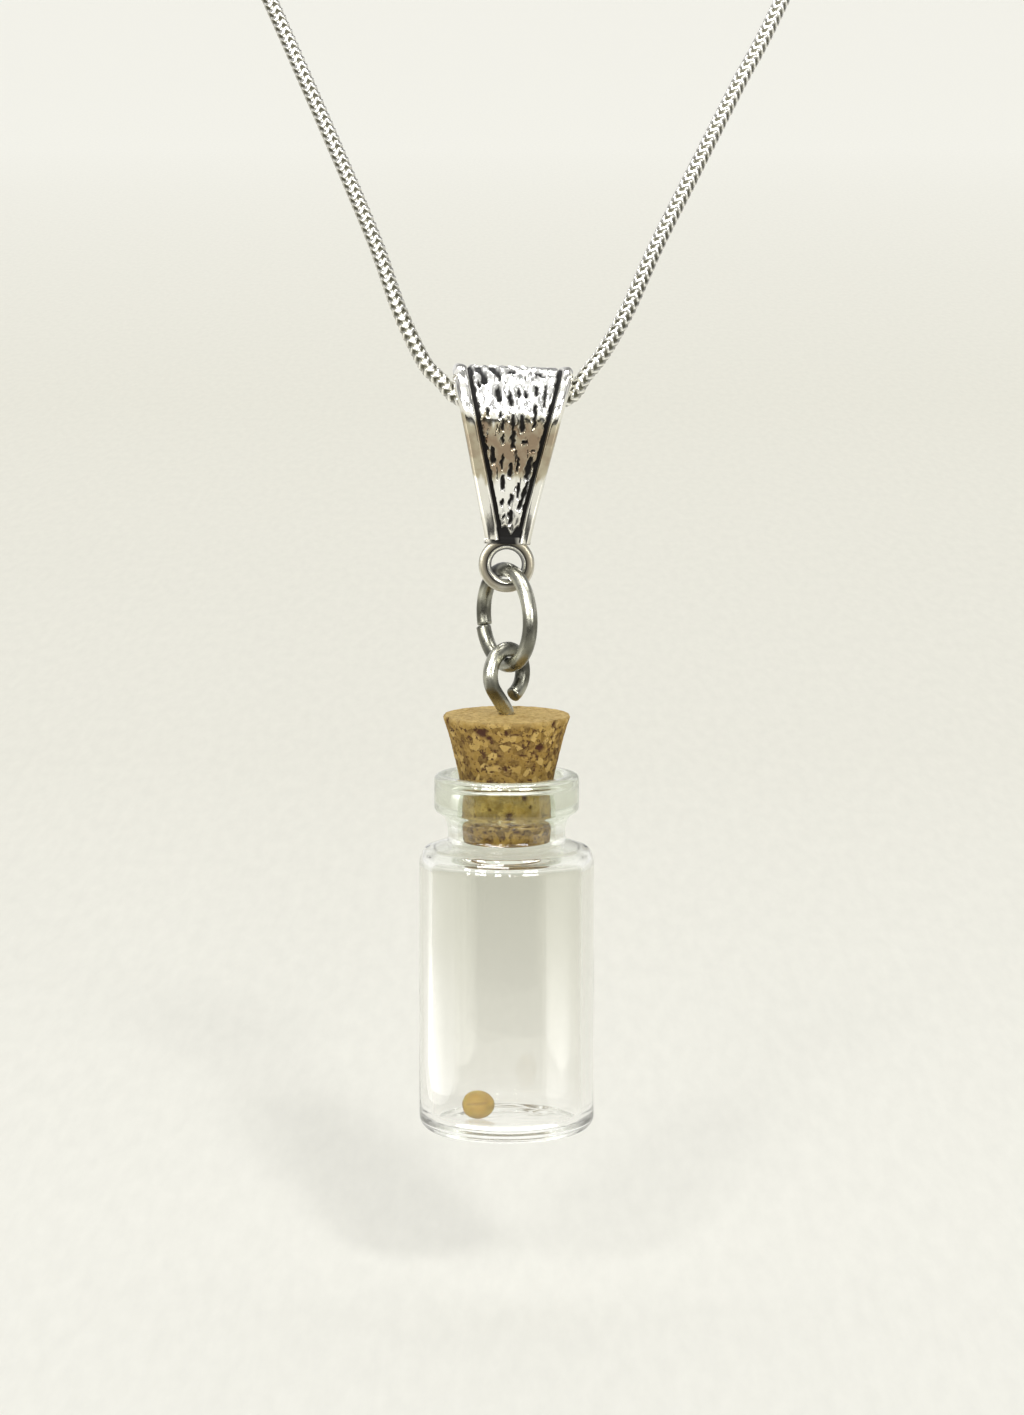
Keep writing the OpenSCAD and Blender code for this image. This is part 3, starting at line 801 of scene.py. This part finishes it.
def screw_eye():
    """Wire bent to an eye whose end stops short of the shank that goes down into the cork.
    Painted shade darkens it at both sides."""
    foot = CORK_TOP_Z - SHANK_DEPTH - EYE_Z
    points = arc_points(0, 0, EYE_R, -90 + EYE_END - 9, 220, 72)
    strand, low, neck = points[-1], Vector((-0.13, 0, -2.22)), -2.58
    points += [strand.lerp(low, i / 6) for i in range(1, 7)]
    points += [Vector((-0.06, 0, -2.33)), Vector((-0.02, 0, -2.45)), Vector((0, 0, neck))]
    points += [Vector((0, 0, neck + (foot + WIRE_END - neck) * i / 10)) for i in range(1, 11)]
    bm = wire_from(points, EYE_WIRE)
    place = moved(0, PENDANT.y, EYE_Z) @ turned("Z", EYE_TURN)
    # Painted shade on both sides.
    painted_shade_and_wear = bm.verts.layers.float.new("painted_shade_and_wear")
    for v in bm.verts:
        at = place @ v.co
        v[painted_shade_and_wear] = 0.5 * bell(at.z, -163.2, 1.1) if at.x < 0 else 0.65 * bell(at.z, -162.2, 0.8)
    finish_piece("screw_eye_wire", bm, bright_steel(), "stopper", "screw_eye",
                 place)


# Cork

CORK_TOP_R, CORK_WAIST_R, CORK_FOOT_R = 4.0, 3.625, 2.7
# Distance between points along the outline, and steps around.
CORK_CELL, CORK_STEPS = 0.11, 168
PIT_DEPTH = 0.13
# Larger pits of the cork's front: turn from the front in degrees, height under the top,
# half width and half height. They come again at two other turns, so that no side is bare.
PITS = [
    (-24, 0.75, 0.52, 0.36), (-17, 1.05, 0.26, 0.22), (0, 0.72, 0.16, 0.12),
    (8, 0.8, 0.4, 0.07), (50, 0.28, 0.26, 0.3), (54, 0.75, 0.2, 0.16),
    (38, 1.75, 0.42, 0.3), (30, 2.05, 0.22, 0.14), (-1, 3.05, 0.12, 0.18),
    (-12, 2.75, 0.14, 0.14), (-19, 2.8, 0.14, 0.12), (18, 2.2, 0.36, 0.08),
    (17, 1.25, 0.16, 0.1), (24, 0.95, 0.1, 0.14), (-40, 2.5, 0.1, 0.16),
    (45, 2.55, 0.14, 0.12), (62, 2.2, 0.12, 0.18), (33, 2.95, 0.16, 0.12),
    (-7, 2.2, 0.14, 0.12), (-50, 1.5, 0.12, 0.16), (3, 5.9, 0.3, 0.16),
    (10, 6.2, 0.36, 0.12), (-10, 4.7, 0.14, 0.12), (22, 4.9, 0.2, 0.14),
    (-28, 7.0, 0.18, 0.12), (12, 6.95, 0.22, 0.18), (-20, 5.6, 0.14, 0.1),
    (30, 5.5, 0.12, 0.16)]
PIT_TURNS = (0, 118, 239)


def cork_profile(shank_r):
    """The stopper's outline, in short steps from the bore's floor to the middle of its foot."""
    lip_r = BORE_R - 0.04
    bore_z, foot_z = -SHANK_DEPTH - 0.02, -CORK_OVER - CORK_IN
    outline = [(shank_r, bore_z), (shank_r, 0.0), (CORK_TOP_R - 0.22, 0.0),
               (CORK_TOP_R - 0.06, -0.06), (CORK_TOP_R, -0.2),
               (CORK_WAIST_R, -0.35 * CORK_OVER), (lip_r, -CORK_OVER),
               ((lip_r + 2 * CORK_FOOT_R) / 3, -CORK_OVER - 0.25 * CORK_IN),
               (CORK_FOOT_R, foot_z + 0.15), (CORK_FOOT_R - 0.2, foot_z)]
    profile = [(0, bore_z)]
    for (r0, z0), (r1, z1) in zip(outline, outline[1:]):
        steps = max(1, round(hypot(r1 - r0, z1 - z0) / CORK_CELL))
        profile += [(r0 + (r1 - r0) * i / steps, z0 + (z1 - z0) * i / steps)
                    for i in range(steps)]
    return profile + [outline[-1], (1.2, foot_z), (0, foot_z)]


def pit_depth(point, r):
    """How far a point of the cork's side lies in a pit, from 0 to 1."""
    turn = (degrees(atan2(point.x, -point.y)) + 360) % 360
    depth = 0.0
    for shift in PIT_TURNS:
        here = (turn - shift + 180) % 360 - 180
        for at, under, wide, high in PITS:
            away = abs(here - at) * pi / 180 * r
            drop = abs(-point.z - under)
            if away < 2 * wide and drop < 2 * high:
                ragged = 1 + 0.7 * noise(point * 4.5)
                depth = max(depth, 1 - ease(
                    0.45, 1.05, hypot(away / wide, drop / high) * ragged))
    return depth


def cork():
    """A tapered stopper of pressed cork with a crumbled, paler rim, pits and a bore for the shank.
    """
    shank_r, side_r, top_z = EYE_WIRE / 2 + 0.02, 2.4, -0.03
    bm = lathe(cork_profile(shank_r), CORK_STEPS)
    pit, top = (bm.verts.layers.float.new(name) for name in ("pit", "top"))
    for v in bm.verts:
        r, z = hypot(v.co.x, v.co.y), v.co.z
        if r < shank_r + 0.02:
            continue
        depth = pit_depth(v.co, r) if r > side_r else 0.0
        rough = noise(v.co * 3.0) * 0.02 + noise(v.co * 8.0) * 0.016
        crumbled = max(noise(v.co * 4.2 + Vector((7, 0, 0))), 0)
        rough += 0.11 * crumbled * bell(z, -0.12, 0.4)
        # Paler along the rim under the top and in a band where the cork meets the bore.
        painted_shade_and_wear = 0.7 * (1 - ease(0.12, 0.42, -z + 0.16 * noise(v.co * 2.6)))
        painted_shade_and_wear = max(painted_shade_and_wear, 0.5 * bell(z, -5.1, 1.3))
        v[pit] = depth
        v[top] = 1.0 if z > top_z else painted_shade_and_wear if r > side_r else 0.0
        inward = Vector((0, 0, -1)) if z > top_z else -Vector((*v.co.xy, 0)).normalized()
        in_neck = ease(-CORK_OVER + 0.3, -CORK_OVER - 0.1, z)
        v.co += inward * (max(0.03 + rough, 0) * (1 - 0.6 * in_neck) + PIT_DEPTH * depth)
    finish_piece("pressed_cork", bm, pressed_cork(), "stopper", "cork",
                 moved(0, PENDANT.y, CORK_TOP_Z))


# Bottle and seed

# The shoulder falls straight between two bends that turn by this many degrees.
SHOULDER_TURN = 70
SHOULDER_SLOPE = tan(radians(90 - SHOULDER_TURN))
# Rounding of the base's edge, and thickness of the base.
BASE_ROUND, BASE_T = 0.9, 0.7


def vial_outside():
    """The vial's outline, as radius and height over the base, from the lip down over the neck,
    the shoulder and the wall to the middle of the base."""
    outside = [(3.78, BOTTLE_H), (4.1, BOTTLE_H)] + arc(4.25, 22.3, 0.29, 90, 5, 6)
    outside += [(4.55, 21.9), (4.55, 20.95)] + arc(4.2, 20.55, 0.34, 5, -70, 5)
    neck_r, fillet, neck_z = 3.675, 0.4, BOTTLE_H - 3.85
    outside += [(3.98, 19.98), (3.80, 19.65), (neck_r + 0.03, 19.25)]
    outside += arc(neck_r + fillet, neck_z, fillet, 180, 180 + SHOULDER_TURN, 8)
    from_r, from_z = outside[-1]
    wide_r, tight_r, meet = 2.0, 0.7, 25
    cut, turn = radians(meet), radians(SHOULDER_TURN)
    tight_x = BOTTLE_R - (wide_r - (wide_r - tight_r) * cos(cut))
    to_r = tight_x + tight_r * cos(turn)
    tight_z = from_z - (to_r - from_r) * SHOULDER_SLOPE - tight_r * sin(turn)
    shoulder_z = tight_z - (wide_r - tight_r) * sin(cut)
    outside += arc(tight_x, tight_z, tight_r, SHOULDER_TURN, meet, 10)
    outside += arc(BOTTLE_R - wide_r, shoulder_z, wide_r, meet, 0, 14)[1:]
    outside += [(BOTTLE_R, shoulder_z * (1 - i / 10) + BASE_ROUND * i / 10)
                for i in range(1, 10)]
    outside += arc(BOTTLE_R - BASE_ROUND, BASE_ROUND, BASE_ROUND, 0, -90, 14)
    return outside + [(3.6, 0.03), (2.4, 0.10), (1.2, 0.13), (0, 0.14)]


def vial_inside():
    """The outline of the vial's hollow, from the middle of its floor up to the mouth."""
    r, bend, corner, corner_z = 4.7, 0.6, 0.8, 1.5
    bend_z, turn = BOTTLE_H - 4.35, radians(SHOULDER_TURN)
    start_r = BORE_R + bend * (1 - cos(turn))
    start_z = bend_z - bend * sin(turn)
    to_r = r - corner * (1 - cos(turn))
    shoulder_z = start_z - (to_r - start_r) * SHOULDER_SLOPE - corner * sin(turn)
    inside = [(0, BASE_T), (1.2, BASE_T), (2.4, BASE_T), (3.3, BASE_T)]
    inside += arc(r - corner, corner_z, corner, -90, 0, 12)
    inside += [(r, corner_z + (shoulder_z - corner_z) * i / 10) for i in range(1, 10)]
    inside += arc(r - corner, shoulder_z, corner, 0, SHOULDER_TURN, 12)
    inside += arc(BORE_R + bend, bend_z, bend, 180 + SHOULDER_TURN, 180, 8)
    mouth = [(0, 19.6), (0, 20.9), (0, 21.62), (0.03, 21.72), (0.10, 21.80), (0.45, 22.3),
             (0.55, 22.5)]
    return inside + [(BORE_R + wider, z) for wider, z in mouth]


def glass_tint_and_shade(z):
    """How strong the tint is at a height over the base: none in the base, more up the wall,
    and most in the neck and the lip. Its deepening is partly painted shade."""
    wall = (0.5 + 0.2 * z / 17) * ease(0.9, 1.8, z)
    over = ease(17, 18, z)
    return max(wall * (1 - over), 0.78 * over, ease(19.5, 20, z))


def bottle():
    """A blown vial with a rolled lip, a short neck, a sloping shoulder and a rounded base. Its
    walls and its base are a little uneven, but not the bore that holds the cork."""
    bm = lathe(vial_inside() + vial_outside(), 128)
    tint = bm.verts.layers.float.new("tint")
    for v in bm.verts:
        x, y, z = v.co
        r = hypot(x, y)
        # The glass's own green, deepened up the wall and in the neck and lip by painted shade.
        v[tint] = glass_tint_and_shade(z)
        in_bore = z > 18.3 and r < 3.4
        if r > 0.5 and not in_bore:
            wave = 0.018 * noise((x * 0.35, y * 0.35, z * 0.22))
            v.co.xy *= 1 + min(wave, 0) / r * 2
        if z < 0.4 and r < 3.6:
            v.co.z += 0.05 * noise((v.co.x * 0.8, v.co.y * 0.8, z * 2))
    finish_piece("glass_vial", bm, clear_glass(), "vial", "bottle",
                 moved(0, PENDANT.y, BASE_Z))


# Half height and lift over the floor of the seed, and its place from the bottle's middle.
SEED_HALF, SEED_GAP, SEED_X, SEED_Y = 0.9, 0.02, -1.8, -0.5


def seed():
    """A round seed a little flattened on one side, with a faint crease across it."""
    bm = bmesh.new()
    bmesh.ops.create_icosphere(bm, subdivisions=5, radius=1)
    crease = bm.verts.layers.float.new("crease")
    for v in bm.verts:
        n = v.co.copy()
        line = abs(n.z - 0.28 - 0.12 * n.x + 0.05 * noise(n * 3))
        mark = (1 - ease(0.02, 0.13, line)) * ease(-0.8, -0.3, -n.y)
        mark *= ease(0.75, 0.5, abs(n.x))
        bulge = 1.025 + 0.035 * noise(n * 1.4) + 0.012 * noise(n * 4)
        bulge -= 0.09 * ease(0.6, 1.0, -n.x) + 0.035 * mark
        v[crease] = mark * 0.8
        v.co = Vector((n.x * 1.05, n.y * 1.05, n.z * SEED_HALF)) * min(bulge, 1.0)
    finish_piece("mustard_seed", bm, mustard_seed(), "vial", "seed",
                 moved(SEED_X, PENDANT.y + SEED_Y, BASE_Z + BASE_T + SEED_GAP + SEED_HALF))


# Floor and light
def floor():
    bm = bmesh.new()
    bmesh.ops.create_grid(bm, x_segments=8, y_segments=8, size=60)
    ground = scene_object("floor", bm, pale_floor())
    ground.location.z = FLOOR


def add_light(name, kind, location, target, energy):
    data = bpy.data.lights.new(name, kind)
    data.energy = energy
    light = bpy.data.objects.new(name, data)
    light.location = location
    light.rotation_euler = (Vector(target) - Vector(location)).to_track_quat("-Z", "Y").to_euler()
    light.visible_camera = False
    scene.collection.objects.link(light)
    return light


def area_light(name, location, target, radiance, size):
    """A flat light, whose power is worked out from its brightness and its size."""
    light = add_light(name, "AREA", location, target, radiance * pi * size[0] * size[1])
    light.data.shape = "RECTANGLE"
    light.data.size, light.data.size_y = size
    return light


# Soft suns: name, turn from the front in degrees, and strength. Then their width and rise.
SUNS = [("left", -15, 0.35), ("right", 14, 0.85)]
SUN_WIDTH, SUN_RISE = 7, 30
# Ceiling panels: both ends along X and both ends along Y, in metres.
PANELS = [
    (-0.86, -0.72, -0.10, 0.36), (-0.62, -0.42, -0.33, 0.17), (-0.23, -0.15, -0.45, 0.04),
    (0.33, 0.66, -0.36, 0.16), (-0.34, -0.02, 0.90, 1.50), (0.12, 0.24, 0.90, 1.50),
    (-1.10, -0.10, -1.90, -1.10)]
CEILING = 1.35
# Brightness of panels and lamps.
RADIANCE = 20
# Lamps behind the camera: both turns from the front and both rises, in degrees.
LAMPS = [
    (-40, 2, 29, 36), (-58, -49, 13, 20), (-41, -28, 13, 20), (-15, -11, 13, 20), (23, 42, 13, 20),
    (-52, -47, 1, 8), (-40, -26, 1, 8), (-15, -7, 1, 8), (3, 6, 1, 8), (20, 41, 1, 8)]
LAMP_AWAY = 1.5
# White cards beside the bottle: name, turn from the front in degrees, width, and brightness.
CARDS = [("left", -104, 0.09, 2.6), ("right", 76, 0.06, 2.2)]
CARD_TOP, CARD_FOOT, CARD_AWAY = -0.172, -0.203, 0.066
# A round card under the bottle's base: half its width, height over the floor, and brightness.
UNDER_R, UNDER_LIFT, UNDER_RADIANCE = 0.013, 0.0004, 1.3
# The dark card in front of the bottle: how far off, how high, how far round in degrees, and the
# height over the floor at which it has faded to black.
DARK_AWAY, DARK_H, DARK_SPAN, DARK_FADE = 0.1, 0.031, 104, 0.02


def only_mirrored(card):
    """Lets a card shine only on what mirrors it, and gives its node tree."""
    card.visible_diffuse = False
    card.data.use_nodes = True
    tree = card.data.node_tree
    feed(tree, tree.nodes["Emission"], {"Strength": mirrored_light(tree)})
    return tree


def soft_card(side, turn, width, radiance):
    """A white card whose light fades upwards and to both sides."""
    away = from_front(turn)
    middle = Vector((0, PENDANT_Y, (CARD_TOP + CARD_FOOT) / 2))
    centre = middle + CARD_AWAY * away
    card = area_light("card_" + side, centre, middle, 0.75 * radiance,
                      (width, CARD_TOP - CARD_FOOT))
    tree = only_mirrored(card)
    place = parts_of(tree, add_node(tree, "NewGeometry").outputs["Position"])
    rise = share_between(tree, place["Z"], CARD_FOOT, CARD_TOP)
    half = width / 2 * abs(away.x)
    share = share_between(tree, place["Y"], centre.y - half, centre.y + half)
    glow = mix_colour(tree, 1.0, ramp(tree, rise, (0.1, 1.0), (0.4, 0.3), (1.0, 0.1)),
                      ramp(tree, share, (0.0, 0.5), (0.12, 0.9), (0.55, 0.9), (1.0, 0.1)),
                      "MULTIPLY")
    feed(tree, tree.nodes["Emission"], {"Color": glow})


def lighting():
    """Two suns, and panels, lamps and cards that only what shines mirrors."""
    middle = Vector((0, PENDANT_Y, -0.17))
    for side, turn, energy in SUNS:
        away = 2 * from_front(turn, SUN_RISE)
        sun = add_light("front_" + side, "SUN", middle + away, middle, energy)
        sun.data.angle = radians(SUN_WIDTH)
        sun.visible_glossy = False
    for i, (x0, x1, y0, y1) in enumerate(PANELS):
        x, y = (x0 + x1) / 2, (y0 + y1) / 2
        panel = area_light(f"panel_{i}", (x, y, CEILING), (x, y, 0), RADIANCE,
                           (x1 - x0, y1 - y0))
        panel.visible_diffuse = panel.visible_transmission = False
    for i, (turn0, turn1, rise0, rise1) in enumerate(LAMPS):
        away = LAMP_AWAY * from_front((turn0 + turn1) / 2, (rise0 + rise1) / 2)
        size = (LAMP_AWAY * radians(turn1 - turn0), LAMP_AWAY * radians(rise1 - rise0))
        lamp = area_light(f"lamp_{i}", middle + away, middle, RADIANCE, size)
        lamp.visible_diffuse = lamp.visible_transmission = False
    for card in CARDS:
        soft_card(*card)
    under = area_light("card_under", (0, PENDANT_Y, FLOOR + UNDER_LIFT), (0, PENDANT_Y, 0),
                       UNDER_RADIANCE * pi / 4, (2 * UNDER_R, 2 * UNDER_R))
    under.data.shape = "DISK"
    only_mirrored(under)


def dark_card():
    """A dark curved card in front of the bottle, which only mirroring surfaces show."""
    bm = bmesh.new()
    edge = [bm.verts.new((0, -DARK_AWAY, z)) for z in (0, DARK_H)]
    bmesh.ops.spin(bm, geom=edge + [bm.edges.new(edge)], axis=(0, 0, 1),
                   angle=radians(DARK_SPAN), steps=26)
    bm.transform(moved(0, PENDANT_Y, FLOOR) @ turned("Z", -DARK_SPAN / 2))
    material, tree, bsdf = new_material("dark_card")
    rise = share_between(tree, parts_of(tree, object_point(tree))["Z"], FLOOR, FLOOR + DARK_FADE)
    feed(tree, bsdf, {"Base Color": ramp(tree, rise, (0.0, 0.35), (1.0, 0.02)),
                      "Roughness": 0.9, "Specular IOR Level": 0.0})
    clear = add_node(tree, "BsdfTransparent").outputs[0]
    shown = add_node(tree, "MixShader", {
        0: mirrored_light(tree, 1), 1: clear, 2: bsdf.outputs[0]})
    tree.links.new(shown.outputs[0], tree.nodes["Material Output"].inputs["Surface"])
    card = scene_object("dark_card", bm, material)
    card.visible_camera = card.visible_diffuse = card.visible_shadow = False


def surroundings():
    """A plain pale room: light above and at the sides, darker in front. What shines also mirrors
    soft patches of light and shade."""
    world = bpy.data.worlds.new("room")
    scene.world = world
    world.use_nodes = True
    tree = world.node_tree
    tree.nodes.clear()
    facing = add_node(tree, "TexCoord").outputs["Generated"]
    parts = parts_of(tree, facing)
    height = ramp(tree, share_between(tree, parts["Z"], -1.0, 1.0),
                  (0.45, 0.80), (0.6, 0.85), (0.8, 1.05))
    front = ramp(tree, share_between(tree, parts["Y"], -1.0, 1.0), (0.12, 0.42), (0.45, 1.0))
    room = mix_colour(tree, 1.0, height, front, "MULTIPLY")
    shifted = add_node(tree, "Mapping", {"Vector": facing, "Location": (0.7, 0.25, 0.4)}).outputs[0]
    cloudy = add_node(tree, "TexNoise", {
        "Vector": shifted, "Scale": 1.7, "Detail": 2.0}).outputs["Fac"]
    patches = ramp(tree, cloudy, (0.40, 0.3), (0.56, 1.25))
    path = add_node(tree, "LightPath").outputs
    mirrored = mix_colour(tree, path["Is Glossy Ray"], room,
                          mix_colour(tree, 1.0, room, patches, "MULTIPLY"))
    pale, bright = (0.86, 0.855, 0.80), (1.06, 1.06, 1.0)
    through = ramp(tree, parts["Z"], (0.06, pale), (0.3, bright))
    seen = mix_colour(tree, path["Is Transmission Ray"], mirrored, through)
    seen = mix_colour(tree, path["Is Camera Ray"], seen, pale)
    light = add_node(tree, "Background", {"Color": seen})
    add_node(tree, "OutputWorld", {"Surface": light.outputs[0]})


snake_chain()
barrel_clasp()
bail()
jump_ring()
screw_eye()
cork()
bottle()
seed()
floor()
lighting()
dark_card()
surroundings()
scene.view_settings.view_transform = "Standard"

# Light caught in the vial's walls needs many turns to come out again.
BOUNCES = {"max": 40, "glossy": 32, "transmission": 32}
for kind, count in BOUNCES.items():
    setattr(scene.cycles, kind + "_bounces", count)
